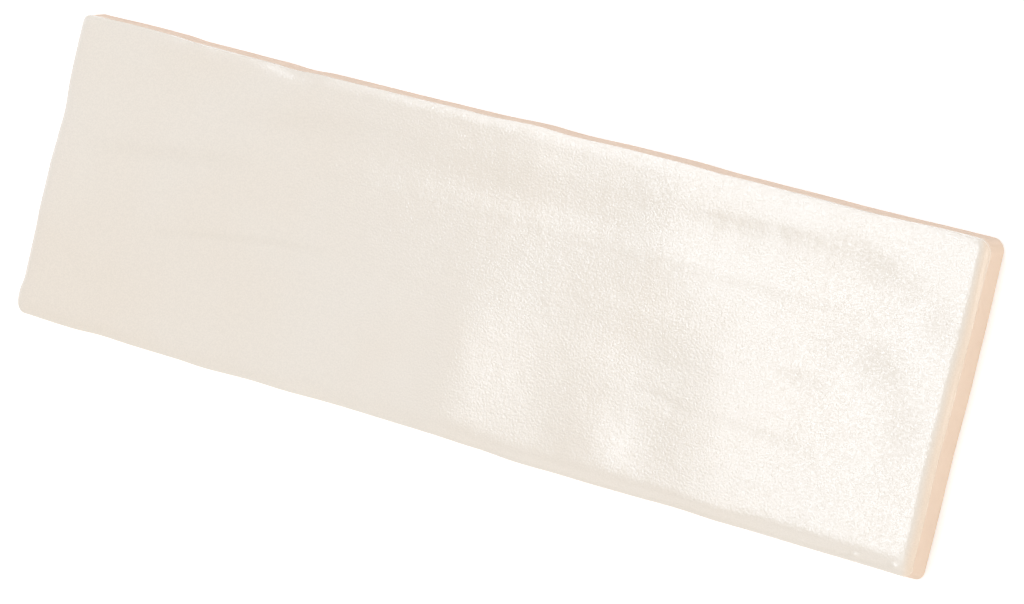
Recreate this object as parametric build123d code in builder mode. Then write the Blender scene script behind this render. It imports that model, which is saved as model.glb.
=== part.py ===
from build123d import *
import math
import os

# Size of the tile between its mean sides: length along X, width along Y, thickness up Z.
# It is sold as 65 x 200 mm, and lies on its back with the origin at the middle of the back.
tile_length = 200.0
tile_width = 64.4
tile_thickness = 8.0

# Edge section from the foot up: a small bevel, a bare clay wall that leans in,
# then a glazed shoulder that rolls over into the face. Each side's shoulder has its own width and drop.
foot_bevel = 0.4
wall_draft = 7.0
near_shoulder = 3.0
right_shoulder = 1.9
far_shoulder = 2.0
left_shoulder = 2.2
near_drop = 1.0
right_drop = 0.95
far_drop = 0.25
left_drop = 0.9

# The four corners seen from above, each softened by its own amount.
near_left_radius = 2.2
near_right_radius = 1.6
far_right_radius = 2.6
far_left_radius = 1.4

# The sides are uneven, as on a hand-made tile. Each pair is a share of the way along the side,
# going anticlockwise from above, and a share of edge_wander outwards there.
edge_wander = 0.45
near_side = (
    (0.065, 0.4), (0.10, -0.1), (0.14, 0.2), (0.23, 0.55), (0.39, -0.55),
    (0.50, -0.2), (0.59, 0.85), (0.71, 0.35), (0.775, -0.15), (0.82, 0.3),
)
right_side = ((0.14, 0.2), (0.375, -0.2), (0.54, 0.1), (0.84, -0.25))
far_side = (
    (0.11, -0.2), (0.25, 0.1), (0.31, 0.8), (0.365, 0.8), (0.425, 0.35), (0.465, 0.85), (0.53, 0.0),
    (0.62, -0.3), (0.71, -0.3), (0.74, -1.0), (0.77, -0.45), (0.865, -0.2), (0.895, 0.5), (0.95, 0.7),
)
left_side = (
    (0.21, -0.15), (0.325, -0.9), (0.41, -0.4), (0.51, 0.2),
    (0.655, 0.2), (0.74, -0.2), (0.885, -0.3), (0.95, 0.7),
)

# Slow waves of the glazed face. Each has its place as shares of the half length and half width,
# its reach along and across as multiples of wave_reach, and its rise as a share of wave_height.
# No wave rises by more than highest_wave, also as a share of wave_height.
wave_height = 0.2
wave_reach = 10.0
face_waves = (
    (0.015, -0.62, 0.7, 1.75, 1.0),
    (0.19, -0.47, 0.95, 1.7, -1.0),
    (0.335, -0.75, 0.75, 0.55, 1.0),
    (0.335, -0.42, 1.8, 2.15, -1.0),
    (0.555, -0.43, 0.9, 1.8, 1.0),
    (0.37, -0.15, 1.1, 0.5, -0.75),
    (-0.16, 0.56, 4.2, 0.45, -1.0),
    (0.64, 0.82, 3.0, 0.5, 1.9),
    (0.41, 0.4, 1.1, 0.55, 1.0),
)
highest_wave = 2.0
skin_step = 2.0

# Keyed back: a waffle of shallow drafted pockets between ribs, inside a plain rim.
key_rim = 4.0
key_rib = 3.0
key_pitch = 18.0
key_depth = 0.7
key_corner = 1.5
key_draft = 30.0

wall_slope = math.tan(math.radians(wall_draft))
blank_height = tile_thickness + 2 * highest_wave * wave_height


def outline(height, inset):
    """Plan of the tile at one height: four wandering sides joined by round corners."""
    half_sizes = (tile_length / 2 - inset, tile_width / 2 - inset)
    sides = (near_side, right_side, far_side, left_side)
    radii = (near_left_radius, near_right_radius, far_right_radius, far_left_radius)
    with BuildSketch(Plane.XY.offset(height)) as plan:
        with BuildLine():
            for turn, side in enumerate(sides):
                half_run = half_sizes[turn % 2]
                reach = half_sizes[(turn + 1) % 2]
                along = Vector(1, 0).rotate(Axis.Z, 90 * turn)
                outward = Vector(0, -1).rotate(Axis.Z, 90 * turn)
                start = radii[turn] - half_run
                end_radius = radii[(turn + 1) % 4]
                run = half_run - end_radius - start
                stations = ((0, 0),) + side + ((1, 0),)
                points = [
                    along * (start + share * run) + outward * (reach + bulge * edge_wander)
                    for share, bulge in stations
                ]
                Spline(points, tangents=[along, along])
                corner = along * (half_run - end_radius) + outward * (reach - end_radius)
                CenterArc(corner, end_radius, 90 * turn - 90, 90)
        make_face()
    return plan.sketch


def face_height(x, y):
    """Height of the glazed face over a point of the plan."""
    height = tile_thickness
    for along, across, length, width, rise in face_waves:
        dx = (x - along * tile_length / 2) / (length * wave_reach)
        dy = (y - across * tile_width / 2) / (width * wave_reach)
        height += rise * wave_height * math.exp(-dx * dx - dy * dy)
    for from_side, width, drop in (
        (tile_width / 2 + y, near_shoulder, near_drop),
        (tile_length / 2 - x, right_shoulder, right_drop),
        (tile_width / 2 - y, far_shoulder, far_drop),
        (tile_length / 2 + x, left_shoulder, left_drop),
    ):
        glaze_line_inset = (tile_thickness - drop) * wall_slope
        rolled = max(glaze_line_inset + width - from_side, 0) / width
        height -= drop * rolled**2
    return height


def skin_places(size):
    """Evenly spread places over a size of the tile and a little past both ends."""
    reach = size / 2 + 2 * edge_wander
    count = math.ceil(2 * reach / skin_step)
    return [reach * (2 * i / count - 1) for i in range(count + 1)]


glazed_skin = Face.make_surface_from_array_of_points(
    [[(x, y, face_height(x, y)) for y in skin_places(tile_width)] for x in skin_places(tile_length)]
)

key_columns = 2 * round((tile_length - 2 * key_rim) / (2 * key_pitch))
key_rows = 2 * round((tile_width - 2 * key_rim) / (2 * key_pitch))
column_pitch = (tile_length - 2 * key_rim) / key_columns
row_pitch = (tile_width - 2 * key_rim) / key_rows

with BuildPart() as subway_tile:
    # Pressed blank: bevelled foot and leaning wall, standing a little above the face
    loft(
        [
            outline(0, foot_bevel),
            outline(foot_bevel, foot_bevel * wall_slope),
            outline(blank_height, blank_height * wall_slope),
        ],
        ruled=True,
    )
    # Glazed face: everything above the waving skin comes off
    extrude(glazed_skin, amount=tile_thickness, dir=(0, 0, 1), mode=Mode.SUBTRACT)
    # Keyed back
    with BuildSketch(Plane.XY):
        with GridLocations(column_pitch, row_pitch, key_columns, key_rows):
            RectangleRounded(column_pitch - key_rib, row_pitch - key_rib, key_corner)
    extrude(amount=key_depth, taper=key_draft, mode=Mode.SUBTRACT)

subway_tile.part.label = "subway_tile"
os.makedirs("parts", exist_ok=True)
export_step(subway_tile.part, "parts/subway_tile.step")
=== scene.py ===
import math
import bmesh
import bpy
from mathutils import Matrix, Vector, geometry, kdtree, noise


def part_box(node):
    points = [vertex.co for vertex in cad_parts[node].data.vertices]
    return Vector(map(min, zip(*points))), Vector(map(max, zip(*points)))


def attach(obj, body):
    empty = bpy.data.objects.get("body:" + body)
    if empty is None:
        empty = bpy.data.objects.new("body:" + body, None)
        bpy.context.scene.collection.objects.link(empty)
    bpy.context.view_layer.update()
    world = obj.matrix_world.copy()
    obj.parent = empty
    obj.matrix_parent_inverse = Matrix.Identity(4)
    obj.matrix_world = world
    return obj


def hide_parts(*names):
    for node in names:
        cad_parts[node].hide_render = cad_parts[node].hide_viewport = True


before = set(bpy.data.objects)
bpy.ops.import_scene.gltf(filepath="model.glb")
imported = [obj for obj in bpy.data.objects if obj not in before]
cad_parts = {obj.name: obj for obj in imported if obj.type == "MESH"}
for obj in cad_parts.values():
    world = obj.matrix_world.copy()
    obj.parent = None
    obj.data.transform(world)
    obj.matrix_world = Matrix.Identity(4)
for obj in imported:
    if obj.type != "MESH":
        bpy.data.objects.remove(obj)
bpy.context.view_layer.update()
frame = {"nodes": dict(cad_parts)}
mm = 0.001  # settings are in millimetres, meshes in metres
print("frame loaded:", ", ".join(frame["nodes"]))


def hexColour(text):  # sRGB hex to the linear values that shaders take
    channels = [int(text[i:i + 2], 16) / 255 for i in (1, 3, 5)]
    return [c / 12.92 if c <= 0.04045 else ((c + 0.055) / 1.055) ** 2.4 for c in channels] + [1.0]


def addNode(tree, kind, links=None, values=None, **settings):  # a node with its settings, values and links
    node = tree.nodes.new(kind)
    for name, value in settings.items():
        setattr(node, name, value)
    for socket, value in (values or {}).items():
        node.inputs[socket].default_value = value
    for socket, source in (links or {}).items():
        tree.links.new(source, node.inputs[socket])
    return node


# camera at the photograph's angle: steeply down from the right-hand end, turned a little
shot = {
    "eye": (253.0, 42.7, 557.2),  # from the middle of the tile's back
    "aim": (10.02, -2.18, 8.0),  # what lies in the middle of the picture
    "pictureRight": (0.8818, 0.2346, -0.4093),  # the way that the picture's right side points
    "lens": 110.1,
    "sensor": 36.0,
    "clipStart": 10.0,
}


def placeCamera():
    eye = Vector(shot["eye"]) * mm
    backwards = (eye - Vector(shot["aim"]) * mm).normalized()
    right = Vector(shot["pictureRight"])
    right = (right - backwards * right.dot(backwards)).normalized()
    up = backwards.cross(right)
    data = bpy.data.cameras.new("tileCamera")
    data.lens = shot["lens"]
    data.sensor_width = shot["sensor"]
    data.clip_start = shot["clipStart"] * mm
    camera = bpy.data.objects.new("tileCamera", data)
    turn = Matrix((right, up, backwards)).transposed().to_4x4()
    camera.matrix_world = Matrix.Translation(eye) @ turn
    bpy.context.scene.collection.objects.link(camera)
    bpy.context.scene.camera = camera


placeCamera()
print("camera placed")

# the tile: one pressed slab, uneven at the sides, with a waving glazed face
tile = {
    "node": "subway_tile",
    "draft": 7.0,  # degrees that the walls lean in
    "footBevel": 0.4,
    "glazeDrop": 1.0,  # from the face to the lowest glaze line
    "shoulders": {  # how far in each rolled edge starts, its fall, power of its curve, width of thin glaze
        "near": (5.4, 1.0, 4.0, 0.0),
        "right": (5.0, 0.95, 5.0, 2.2),
        "far": (2.6, 0.26, 2.0, 0.0),
        "left": (3.3, 0.9, 3.0, 0.0),
    },
    "shoulderWander": (13.0, 0.35),  # uneven start of the roll: length, share of its width
    "corners": {"nearleft": 2.2, "nearright": 1.6, "farright": 2.6, "farleft": 1.4},
    "sides": {  # place along each side, and how far it stands out there
        "near": [
            (-98, 0.1), (-85, 0.18), (-78, -0.04), (-71, 0.1), (-60, 0.08), (-53, 0.25),
            (-40, -0.07), (-21, -0.25), (0, -0.1), (9, 0.06), (18, 0.38), (28, 0.2),
            (42, 0.15), (54, -0.06), (62, 0.13), (98, 0.08),
        ],
        "far": [
            (-98, 0.2), (-84, 0.33), (-78, 0.23), (-72, -0.1), (-54, -0.2), (-48, -0.45),
            (-42, -0.14), (-24, -0.13), (-6, 0), (6, 0.38), (14, 0.16), (26, 0.36),
            (37, 0.36), (48, 0.05), (60, 0.03), (76, -0.1), (98, 0.1),
        ],
        "left": [
            (-31, 0.2), (-27.5, 0.37), (-24, -0.13), (-14, -0.1), (-9, 0.1), (0, 0.1),
            (6, -0.17), (11, -0.41), (18, -0.07), (31, 0.05),
        ],
        "right": [(-31, 0.06), (-22, 0.08), (-8, -0.08), (2, 0.05), (14, -0.02), (31, -0.3)],
    },
    "sideFade": 10.0,  # how far in from a side its unevenness dies out
    "gridLong": 480,
    "gridWide": 160,
    "crowding": 0.25,  # grid lines stand closer towards the sides
    "swells": [  # slow waves: middle, reach along and across, rise
        (1.5, -20, 7, 17.5, 0.2),
        (19, -15, 9.5, 17, -0.2),
        (33.5, -24, 7.5, 5.5, 0.2),
        (33.5, -13.5, 18, 21.5, -0.2),
        (55.5, -14, 9, 18, 0.16),
        (37, -5, 11, 5, -0.15),
        (-16, 18, 42, 4.5, -0.2),
        (64, 26.5, 30, 5, 0.38),
        (41, 13, 11, 5.5, 0.2),
        (-47.5, 31, 6.5, 2.4, -0.29),
        (95, -35.5, 16, 5.5, -0.5),
        (36, 33, 14, 6, 0.1),
        (-30, 18.5, 16, 4.2, 0.1),
        (24, 17.5, 11, 4.5, -0.05),
        (43, -22, 5, 5, -0.07),
        (7, 25, 6.5, 5.5, 0.08),
        (37, 25, 6, 6, 0.05),
        (-12, -19, 9, 10, 0.08),
        (38, 16, 16, 13, 0.13),
    ],
    "strokes": [  # drag marks: start, bend, end, half width, depth (below 0 a ridge), darkening of the colour along it, tearing
        ((94, 12.2), (20, 13.4), (-52, 12.6), 0.8, -0.028, 0.3, 0.3),
        ((40, 22.6), (56, 22.8), (70, 24.2), 1.2, 0.12, 0.4, 0.4),
        ((66, 24.4), (80, 24.2), (88, 16.5), 2.6, 0.1, 0.45, 0.45),
        ((85, 21), (93, 18), (96, 9), 2.4, 0.1, 0.4, 0.4),
        ((69, 7.6), (97, 8), (90, -19), 2.8, 0.08, 0.45, 0.45),
        ((64, -1.4), (70, -1.2), (76, -2.6), 1.1, 0.07, 0.25, 0.25),
        ((37, -12), (45, -11.4), (51, -13.5), 0.7, 0.06, 0.2, 0.2),
        ((54, -13), (66, -13.2), (77, -14.7), 0.8, 0.05, 0.25, 0.25),
        ((-73, -8.5), (-52, -3.7), (-31, -2.3), 0.55, 0.03, 0.4, 0.0),
        ((-92, 6), (-70, 8.4), (-52, 11), 1.2, 0.04, 0.33, 0.0),
        ((-62, 18.5), (-40, 23), (-14, 24), 1.5, 0.04, 0.2, 0.0),
    ],
    "strokeSlack": 3.0,  # a mark's other bank is this much wider
    "strokeBreaks": 3.0,  # half widths over which a mark fades in and out
    "strokeStrength": (0.75, 0.25),  # a mark's mean strength, and how far it varies where nothing is torn
    "strokeTaper": 0.6,  # power of the fade towards its ends
    "strokeMargin": 2.5,  # half widths of the wide bank past which a mark counts for nothing
    "strokePoints": (0.5, 8),  # spacing of the points along a mark, and how many more
    "wrinkles": (1.1, 0.13),  # torn glaze in the marks: size, height where fully torn
    "pips": [  # specks and a pinhole: place, length, width, height
        (88.3, -30.3, 0.9, 0.45, 0.26), (96.3, -30.2, 1.1, 0.5, 0.28), (-86, 4.4, 0.4, 0.4, -0.1),
    ],
    "streaks": (45.0, 2.4, 0.012),  # faint brush lines: length, spacing, height
    "dimples": (3.2, 0.014),  # uneven flow: size, height
    "lip": [  # round glaze bead: drop below its line, overhang
        (0.02, 0.05), (0.06, 0.08), (0.12, 0.095), (0.2, 0.1), (0.29, 0.075), (0.38, 0.0),
    ],
    "warmCorner": ((-30, 10), (60, 40)),  # where the glaze warms towards the near left, over how far
    "lineWander": (14.0, 0.3),  # uneven glaze line: length, how far in or out
    "runs": [  # where the glaze ran down the wall: place, reach, how much longer
        (91, 32, 9, 6.0), (66, 32, 12, 3.0), (-20, 32, 12, 2.0), (-72, 32, 16, 3.5), (-96, 32, 4, 4.0),
    ],
    "wallRings": 4,
    "wallUneven": (6.0, 0.04),  # clay surface: size, depth
    "noiseLevels": {  # each uneven pattern is cut from the noise at its own level
        "shoulder": 2.6, "line": 8.4, "breaks": 5.1, "wrinkles": 6.2, "streaks": 3.7, "dimples": 11.3,
    },
    "sharpAngle": 35.0,  # degrees past which an edge is shaded sharp
}


def smooth(t):
    t = min(max(t, 0.0), 1.0)
    return t * t * (3 - 2 * t)


def uneven(pattern, x, y, length, width=None):  # a smooth chance pattern, about 0
    return noise.noise((x / length, y / (width or length), tile["noiseLevels"][pattern]))


def bulge(side, place):  # outward stand of a side at one place along it
    stations = tile["sides"][side]
    if place <= stations[0][0]:
        return stations[0][1]
    for (a, before), (b, after) in zip(stations, stations[1:]):
        if place <= b:
            return before + (after - before) * smooth((place - a) / (b - a))
    return stations[-1][1]


low, high = [Vector(corner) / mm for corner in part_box(tile["node"])]
fullest = {side: max(out for place, out in stations) for side, stations in tile["sides"].items()}
reach = {
    "near": -low.y - fullest["near"],
    "far": high.y - fullest["far"],
    "left": -low.x - fullest["left"],
    "right": high.x - fullest["right"],
}
faceLevel = round(high.z)  # the face without its waves
wallSlope = math.tan(math.radians(tile["draft"]))
lineInset = (faceLevel - tile["glazeDrop"]) * wallSlope


def filmDepth(distance, width):  # 0 at a thin edge to 1 on the full coat
    return smooth(distance / width) if width else 1.0


def planPoint(u, v, inset):  # shares of the way to the sides, to a place, its fall and glaze film
    endSide = "right" if u > 0 else "left"
    longSide = "far" if v > 0 else "near"
    limitX = reach[endSide] - inset
    limitY = reach[longSide] - inset
    radius = tile["corners"][longSide + endSide]
    x = abs(u) * limitX
    y = abs(v) * limitY
    p = max(x - limitX + radius, 0) / radius
    q = max(y - limitY + radius, 0) / radius
    x += radius * p * (math.sqrt(1 - q * q / 2) - 1)  # corner squares become quarter discs
    y += radius * q * (math.sqrt(1 - p * p / 2) - 1)
    widthX, dropX, powerX, thinX = tile["shoulders"][endSide]
    widthY, dropY, powerY, thinY = tile["shoulders"][longSide]
    film = min(filmDepth((1 - abs(u)) * limitX, thinX), filmDepth((1 - abs(v)) * limitY, thinY))
    length, share = tile["shoulderWander"]
    wider = 1 + share * uneven("shoulder", u * limitX, v * limitY, length)
    fall = dropX * max(1 - (limitX - x) / widthX / wider, 0) ** powerX
    fall += dropY * max(1 - (limitY - y) / widthY / wider, 0) ** powerY
    nearEnd = max(1 - (limitX - x) / tile["sideFade"], 0) ** 2
    nearLong = max(1 - (limitY - y) / tile["sideFade"], 0) ** 2
    signX, signY = math.copysign(1, u), math.copysign(1, v)
    placeX = signX * (x + nearEnd * bulge(endSide, signY * y))
    placeY = signY * (y + nearLong * bulge(longSide, signX * x))
    return placeX, placeY, fall, film


def strokePaths():  # each drag mark as close points in a search tree
    paths = []
    spacing, more = tile["strokePoints"]
    for start, bend, end, width, depth, dulling, tearing in tile["strokes"]:
        start, bend, end = Vector(start), Vector(bend), Vector(end)
        count = int((end - start).length / spacing) + more
        handles = start.lerp(bend, 2 / 3), end.lerp(bend, 2 / 3)  # those of a curve with one bend
        points = geometry.interpolate_bezier(start, *handles, end, count)
        tree = kdtree.KDTree(count)
        for i, point in enumerate(points):
            tree.insert((point.x, point.y, 0), i)
        tree.balance()
        margin = tile["strokeMargin"] * width * tile["strokeSlack"]
        box = (
            min(p.x for p in points) - margin, max(p.x for p in points) + margin,
            min(p.y for p in points) - margin, max(p.y for p in points) + margin,
        )
        paths.append((tree, points, box, count - 1, width, depth, dulling, tearing))
    return paths


paths = strokePaths()
humps = tile["swells"] + tile["pips"]


def glazeWarmth(x, y):
    (startX, startY), (overX, overY) = tile["warmCorner"]
    return smooth((startX - x) / overX) * smooth((startY - y) / overY)


def glazeWander(x, y):  # how far further in the glaze line stands
    length, depth = tile["lineWander"]
    return depth * uneven("line", x, y, length)


def glazeRun(x, y):  # how much further down the glaze hangs
    return sum(
        more * math.exp(-((x - a) ** 2 + (y - b) ** 2) / spread ** 2) for a, b, spread, more in tile["runs"]
    )


def faceRelief(x, y):  # rise by waves, marks and uneven flow, how far the colour is darker along the marks, and how far marks tear the glaze
    rise = dragged = torn = 0.0
    mean, varied = tile["strokeStrength"]
    for middleX, middleY, along, across, height in humps:
        rise += height * math.exp(-((x - middleX) / along) ** 2 - ((y - middleY) / across) ** 2)
    for tree, points, box, last, width, depth, dulling, tearing in paths:
        if box[0] < x < box[1] and box[2] < y < box[3]:
            point, index, distance = tree.find((x, y, 0))
            ahead = points[min(index + 1, last)] - points[max(index - 1, 0)]
            leftBank = ahead.cross(Vector((x, y)) - points[index]) > 0
            dull = math.exp(-(distance / width) ** 2 / 2)
            distance /= width if leftBank else width * tile["strokeSlack"]
            breaks = uneven("breaks", point.x, point.y, width * tile["strokeBreaks"])
            strength = max(mean + (varied + tearing) * breaks, 0)
            strength *= math.sin(math.pi * index / last) ** tile["strokeTaper"]
            rise -= depth * strength * math.exp(-distance ** 2)
            dragged += dulling * strength * dull
            torn += tearing * strength * dull
    size, height = tile["wrinkles"]
    rise += torn * height * uneven("wrinkles", x, y, size)
    length, spacing, height = tile["streaks"]
    rise += height * uneven("streaks", x, y, length, spacing)
    size, height = tile["dimples"]
    rise += height * uneven("dimples", x, y, size)
    return rise, min(dragged, 1), min(torn, 1)


glazed, bare = 0, 1  # the tile's material slots


def buildTile():
    bm = bmesh.new()
    along = bm.verts.layers.float.new("along")  # shares of the way to the sides, for the walls below
    across = bm.verts.layers.float.new("across")
    line = bm.verts.layers.float.new("line")  # height of the glaze line above each wall point
    film = bm.verts.layers.float.new("glazeFilm")  # 1 on the face, 0 where the glaze thins to nothing
    markDarkening = bm.verts.layers.float.new("dragged")  # where the colour is darker along the marks
    broken = bm.verts.layers.float.new("torn")  # where marks roughen it
    warm = bm.verts.layers.float.new("warmth")
    bmesh.ops.create_grid(bm, x_segments=tile["gridLong"], y_segments=tile["gridWide"], size=1)
    crowding = tile["crowding"]
    for vert in bm.verts:
        u, v = [c * (1 + crowding - crowding * c * c) for c in vert.co.xy]
        u, v = min(max(u, -1), 1), min(max(v, -1), 1)
        x, y, fall, thick = planPoint(u, v, lineInset + glazeWander(u * high.x, v * high.y))
        rise, dragged, torn = faceRelief(x, y)
        z = faceLevel + rise - fall
        vert.co = Vector((x, y, z)) * mm
        vert[along], vert[across], vert[line] = u, v, z
        vert[film], vert[markDarkening], vert[broken], vert[warm] = thick, dragged, torn, glazeWarmth(x, y)
    print("glazed face:", len(bm.verts), "points")

    def nextRing(rim, placeRing, material):  # carries the rim down by one ring
        result = bmesh.ops.extrude_edge_only(bm, edges=rim)["geom"]
        for vert in [part for part in result if isinstance(part, bmesh.types.BMVert)]:
            z, inset = placeRing(vert)
            x, y = planPoint(vert[along], vert[across], inset)[:2]
            vert.co = Vector((x, y, z)) * mm
        for face in [part for part in result if isinstance(part, bmesh.types.BMFace)]:
            face.material_index = material
        return [part for part in result if isinstance(part, bmesh.types.BMEdge) and part.is_boundary]

    rim = [edge for edge in bm.edges if edge.is_boundary]
    lipDrop = tile["lip"][-1][0]
    for drop, overhang in tile["lip"]:

        def lipRing(vert):
            x, y = vert[along] * high.x, vert[across] * high.y
            z = vert[line] - drop * (1 + glazeRun(x, y))
            return z, z * wallSlope - overhang + glazeWander(x, y) * (1 - drop / lipDrop)

        rim = nextRing(rim, lipRing, glazed)
    for vert in {vert for edge in rim for vert in edge.verts}:
        vert[line] = vert.co.z / mm  # where the bare wall begins
    size, depth = tile["wallUneven"]
    for ring in range(1, tile["wallRings"] + 1):
        share = ring / tile["wallRings"]

        def wallRing(vert):
            z = tile["footBevel"] + (vert[line] - tile["footBevel"]) * (1 - share)
            rough = noise.noise((vert.co.x / mm / size, vert.co.y / mm / size, z / size))
            return z, z * wallSlope + depth * rough

        rim = nextRing(rim, wallRing, bare)
    nextRing(rim, lambda vert: (0.0, tile["footBevel"]), bare)
    print("walls and foot:", len(bm.verts), "points")
    keyBack(bm)
    bmesh.ops.recalc_face_normals(bm, faces=bm.faces)
    for face in bm.faces:
        face.smooth = True
    for edge in bm.edges:
        edge.smooth = edge.calc_face_angle(0) < math.radians(tile["sharpAngle"])
    openEdges = sum(not edge.is_manifold for edge in bm.edges)
    print("tile mesh:", len(bm.faces), "faces,", openEdges, "open edges")
    mesh = bpy.data.meshes.new("subwayTile")
    bm.to_mesh(mesh)
    bm.free()
    piece = bpy.data.objects.new("subwayTile", mesh)
    bpy.context.scene.collection.objects.link(piece)
    return piece


# keyed back: a waffle of shallow pockets inside a plain rim
back = {
    "rim": 4.0,
    "rib": 3.0,
    "pitch": 18.0,
    "depth": 0.7,
    "draft": 30.0,
    "corner": 1.5,
    "cornerSegments": 4,
}


def keyBack(bm):
    sizeX = (reach["left"] + reach["right"]) - 2 * back["rim"]
    sizeY = (reach["near"] + reach["far"]) - 2 * back["rim"]
    columns = 2 * round(sizeX / back["pitch"] / 2)
    rows = 2 * round(sizeY / back["pitch"] / 2)
    grid = bmesh.ops.create_grid(bm, x_segments=columns, y_segments=rows, size=0.5)["verts"]
    bmesh.ops.scale(bm, vec=(sizeX * mm, sizeY * mm, 1), verts=grid)
    cells = list({face for vert in grid for face in vert.link_faces})
    bmesh.ops.reverse_faces(bm, faces=cells)
    bmesh.ops.inset_individual(bm, faces=cells, thickness=back["rib"] / 2 * mm)
    lean = back["depth"] * math.tan(math.radians(back["draft"]))
    bmesh.ops.inset_individual(bm, faces=cells, thickness=lean * mm, depth=-back["depth"] * mm)
    deep = back["depth"] / 2 * mm  # edges that fall further than this run down into a pocket
    corners = {
        edge for face in cells for vert in face.verts for edge in vert.link_edges
        if abs(edge.verts[0].co.z - edge.verts[1].co.z) > deep
    }
    bmesh.ops.bevel(
        bm, geom=list(corners), offset=back["corner"] * mm, offset_type="WIDTH", affect="EDGES",
        segments=back["cornerSegments"], profile=0.5, material=-1,
    )
    bmesh.ops.triangle_fill(bm, use_beauty=True, edges=[edge for edge in bm.edges if edge.is_boundary])
    bareBelow = back["depth"] * 1.5 * mm  # takes in the floors of the pockets
    for face in bm.faces:
        if face.calc_center_median().z < bareBelow:
            face.material_index = bare
    print("back:", columns, "x", rows, "pockets")


tilePiece = buildTile()


# cream satin glaze: an opaque tin-white coat, fired; orange peel breaks up its soft reflections
glaze = {
    "cream": "#ece4d9",
    "warm": "#ebe0d2",
    "thin": "#eed9c3",  # where the clay shows through at the edges
    "drag": "#e2d8ca",  # the colour is darker along the drag marks
    "warmShare": 0.6,  # of the warm colour in the warm corner
    "mottle": 22.0,  # size of the cloudy patches
    "peel": 0.45,  # size of the orange peel
    "peelDepth": 0.033,
    "grain": 0.3,  # frit grain that makes the shine sparkle, drawn coarser than real so that it shows
    "grainRange": (0.3, 0.7),  # noise values that the shine runs over
    "shine": (0.25, 0.75),  # specular level, dullest and brightest
    "roughness": (0.145, 0.5),  # smooth, and where drag marks broke the surface
    "tearRange": (0.4, 0.6),  # heights of the peel from whole to torn
    "tearGain": 2.0,
    "ior": 1.52,
}


def creamGlaze():
    material = bpy.data.materials.new("creamGlaze")
    material.use_nodes = True
    tree = material.node_tree
    shader = tree.nodes["Principled BSDF"]
    place = addNode(tree, "ShaderNodeTexCoord").outputs["Object"]
    cloud = addNode(
        tree, "ShaderNodeTexNoise", {"Vector": place}, {"Scale": 1 / (glaze["mottle"] * mm), "Detail": 2.0},
    )
    warmth = addNode(tree, "ShaderNodeAttribute", attribute_name="warmth").outputs["Fac"]
    tint = addNode(
        tree, "ShaderNodeMath", {0: warmth, 2: cloud.outputs["Fac"]},
        {1: glaze["warmShare"]}, operation="MULTIPLY_ADD",
    )
    body = addNode(
        tree, "ShaderNodeMix", {0: tint.outputs[0]},
        {6: hexColour(glaze["cream"]), 7: hexColour(glaze["warm"])}, data_type="RGBA",
    )
    # the colour is darker along the drag marks
    marks = addNode(tree, "ShaderNodeAttribute", attribute_name="dragged").outputs["Fac"]
    marked = addNode(
        tree, "ShaderNodeMix", {0: marks, 6: body.outputs[2]},
        {7: hexColour(glaze["drag"])}, data_type="RGBA",
    )
    coat = addNode(tree, "ShaderNodeAttribute", attribute_name="glazeFilm").outputs["Fac"]
    colour = addNode(
        tree, "ShaderNodeMix", {0: coat, 7: marked.outputs[2]},
        {6: hexColour(glaze["thin"])}, data_type="RGBA",
    )
    peel = addNode(
        tree, "ShaderNodeTexNoise", {"Vector": place}, {"Scale": 1 / (glaze["peel"] * mm), "Detail": 1.0},
    )
    bump = addNode(
        tree, "ShaderNodeBump", {"Height": peel.outputs["Fac"]}, {"Distance": glaze["peelDepth"] * mm},
    )
    grain = addNode(
        tree, "ShaderNodeTexNoise", {"Vector": place}, {"Scale": 1 / (glaze["grain"] * mm), "Detail": 0.0},
    )
    lowest, highest = glaze["grainRange"]
    dull, bright = glaze["shine"]
    shine = addNode(
        tree, "ShaderNodeMapRange", {"Value": grain.outputs["Fac"]},
        {"From Min": lowest, "From Max": highest, "To Min": dull, "To Max": bright},
    )
    tree.links.new(shine.outputs["Result"], shader.inputs["Specular IOR Level"])
    tree.links.new(colour.outputs[2], shader.inputs["Base Color"])
    whole, split = glaze["tearRange"]
    broken = addNode(
        tree, "ShaderNodeMapRange", {"Value": peel.outputs["Fac"]},
        {"From Min": whole, "From Max": split, "To Min": 0.0, "To Max": glaze["tearGain"]},
    )
    torn = addNode(tree, "ShaderNodeAttribute", attribute_name="torn").outputs["Fac"]
    dulling = addNode(
        tree, "ShaderNodeMath", {0: torn, 1: broken.outputs["Result"]}, operation="MULTIPLY",
    )
    smoothest, roughest = glaze["roughness"]
    roughness = addNode(
        tree, "ShaderNodeMapRange", {"Value": dulling.outputs[0]},
        {"To Min": smoothest, "To Max": roughest},
    )
    tree.links.new(roughness.outputs["Result"], shader.inputs["Roughness"])
    tree.links.new(bump.outputs["Normal"], shader.inputs["Normal"])
    shader.inputs["IOR"].default_value = glaze["ior"]
    return material


# bare biscuit: pale peach fired clay, matt and finely grained
biscuit = {
    "peach": "#f0d7c0",
    "sandy": "#ead0ba",
    "grain": 0.5,  # size of the clay's grain, drawn coarser than real so that it shows
    "cloud": 9.0,  # size of the patches of the two colours
    "grainDepth": 0.03,
    "roughness": 0.85,
}


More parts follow.
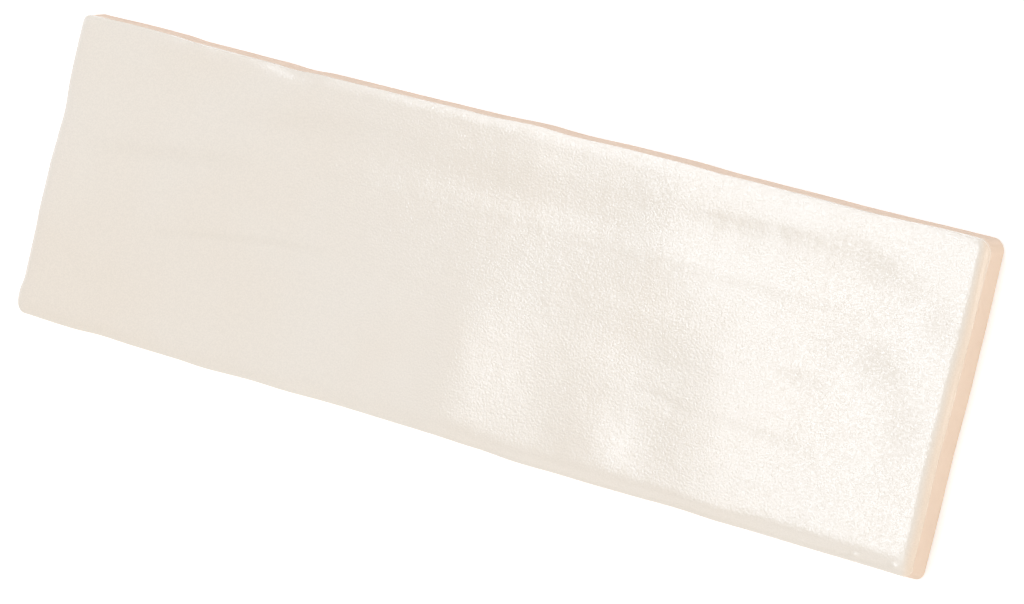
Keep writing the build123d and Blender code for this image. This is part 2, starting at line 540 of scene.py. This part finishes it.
def peachBiscuit():
    material = bpy.data.materials.new("peachBiscuit")
    material.use_nodes = True
    tree = material.node_tree
    shader = tree.nodes["Principled BSDF"]
    place = addNode(tree, "ShaderNodeTexCoord").outputs["Object"]
    cloud = addNode(
        tree, "ShaderNodeTexNoise", {"Vector": place}, {"Scale": 1 / (biscuit["cloud"] * mm), "Detail": 4.0},
    )
    colour = addNode(
        tree, "ShaderNodeMix", {0: cloud.outputs["Fac"]},
        {6: hexColour(biscuit["peach"]), 7: hexColour(biscuit["sandy"])}, data_type="RGBA",
    )
    grain = addNode(
        tree, "ShaderNodeTexNoise", {"Vector": place}, {"Scale": 1 / (biscuit["grain"] * mm), "Detail": 2.0},
    )
    bump = addNode(
        tree, "ShaderNodeBump", {"Height": grain.outputs["Fac"]}, {"Distance": biscuit["grainDepth"] * mm},
    )
    tree.links.new(colour.outputs[2], shader.inputs["Base Color"])
    tree.links.new(bump.outputs["Normal"], shader.inputs["Normal"])
    shader.inputs["Roughness"].default_value = biscuit["roughness"]
    return material


tilePiece.data.materials.append(creamGlaze())
tilePiece.data.materials.append(peachBiscuit())
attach(tilePiece, "root")
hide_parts(tile["node"])
print("tile finished and riding")

# white floor, a soft box overhead with a dimmer apron, three reflector panels, and room light
studio = {
    "floor": 4.0,  # metres each way
    "floorColour": "#f2f1ef",
    "floorRoughness": 0.9,
    "floorGlow": 0.34,  # lifts the floor to white where it is seen or mirrored
    "walls": (0.9, "#ffffff"),  # the room's brightness and colour at eye level
    "ceiling": (0.187, "#ffe0a4"),
}
lamps = {  # middle and size in metres, what it faces, turn of its long side, brightness
    "overheadBox": {
        "middle": (-0.299, 0.159, 1.208), "facing": (0, 0, -1), "longSide": (-0.45, 1.0, 0),
        "size": (0.505, 1.015), "radiance": 5.26, "colour": "#e9f3ff",
    },
    "boxApron": {
        "middle": (-0.007, -0.49, 1.208), "facing": (0, 0, -1), "longSide": (-0.45, 1.0, 0),
        "size": (0.505, 0.41), "radiance": 2.26, "colour": "#e9f3ff",
    },
    "sidePanel": {
        "middle": (1.3, 0.1, 0.4), "facing": (-1, 0, -0.2), "longSide": (0, 1, 0),
        "size": (0.7, 1.4), "radiance": 1.9, "colour": "#fafcff",
    },
    "nearPanel": {
        "middle": (0.0, -1.05, 1.0), "facing": (0, 1, -0.9), "longSide": (1, 0, 0),
        "size": (0.8, 1.3), "radiance": 0.8, "colour": "#f6f6ff",
    },
    "farPanel": {
        "middle": (-0.5, 1.3, 0.5), "facing": (0.4, -1, -0.4), "longSide": (1, 0.4, 0),
        "size": (0.25, 0.9), "radiance": 4.2, "colour": "#cadaff",
    },
}


def buildStage():
    bm = bmesh.new()
    bmesh.ops.create_grid(bm, x_segments=1, y_segments=1, size=studio["floor"] / 2)
    mesh = bpy.data.meshes.new("floor")
    bm.to_mesh(mesh)
    bm.free()
    floor = bpy.data.objects.new("floor", mesh)
    bpy.context.scene.collection.objects.link(floor)
    material = bpy.data.materials.new("paleFloor")
    material.use_nodes = True
    tree = material.node_tree
    shader = tree.nodes["Principled BSDF"]
    shader.inputs["Base Color"].default_value = hexColour(studio["floorColour"])
    shader.inputs["Roughness"].default_value = studio["floorRoughness"]
    shader.inputs["Specular IOR Level"].default_value = 0.0
    rays = addNode(tree, "ShaderNodeLightPath").outputs
    seen = addNode(
        tree, "ShaderNodeMath", {0: rays["Is Camera Ray"], 1: rays["Is Glossy Ray"]}, operation="MAXIMUM",
    )
    seen = addNode(
        tree, "ShaderNodeMath", {0: seen.outputs[0], 1: rays["Is Transmission Ray"]}, operation="MAXIMUM",
    )
    glow = addNode(
        tree, "ShaderNodeMath", {0: seen.outputs[0]}, {1: studio["floorGlow"]}, operation="MULTIPLY",
    )
    shader.inputs["Emission Color"].default_value = (1, 1, 1, 1)
    tree.links.new(glow.outputs[0], shader.inputs["Emission Strength"])
    mesh.materials.append(material)


def lightStage():
    world = bpy.data.worlds.new("studioRoom")
    world.use_nodes = True
    tree = world.node_tree
    outlook = addNode(tree, "ShaderNodeTexCoord").outputs["Generated"]
    height = addNode(tree, "ShaderNodeSeparateXYZ", {0: outlook}).outputs["Z"]
    walls, ceiling = [
        [level * c for c in hexColour(tone)] for level, tone in (studio["walls"], studio["ceiling"])
    ]
    room = addNode(tree, "ShaderNodeMix", {0: height}, {6: walls, 7: ceiling}, data_type="RGBA")
    tree.links.new(room.outputs[2], tree.nodes["Background"].inputs["Color"])
    bpy.context.scene.world = world
    for name, lamp in lamps.items():
        data = bpy.data.lights.new(name, "AREA")
        data.shape = "RECTANGLE"
        data.size, data.size_y = lamp["size"]
        data.color = hexColour(lamp["colour"])[:3]
        data.energy = lamp["radiance"] * math.pi * data.size * data.size_y
        light = bpy.data.objects.new(name, data)
        backwards = -Vector(lamp["facing"]).normalized()
        longSide = Vector(lamp["longSide"])
        longSide = (longSide - backwards * longSide.dot(backwards)).normalized()
        turn = Matrix((longSide.cross(backwards), longSide, backwards)).transposed().to_4x4()
        light.matrix_world = Matrix.Translation(lamp["middle"]) @ turn
        light.visible_camera = False
        bpy.context.scene.collection.objects.link(light)


buildStage()
lightStage()
bpy.context.scene.view_settings.view_transform = "Standard"
print("stage lit")
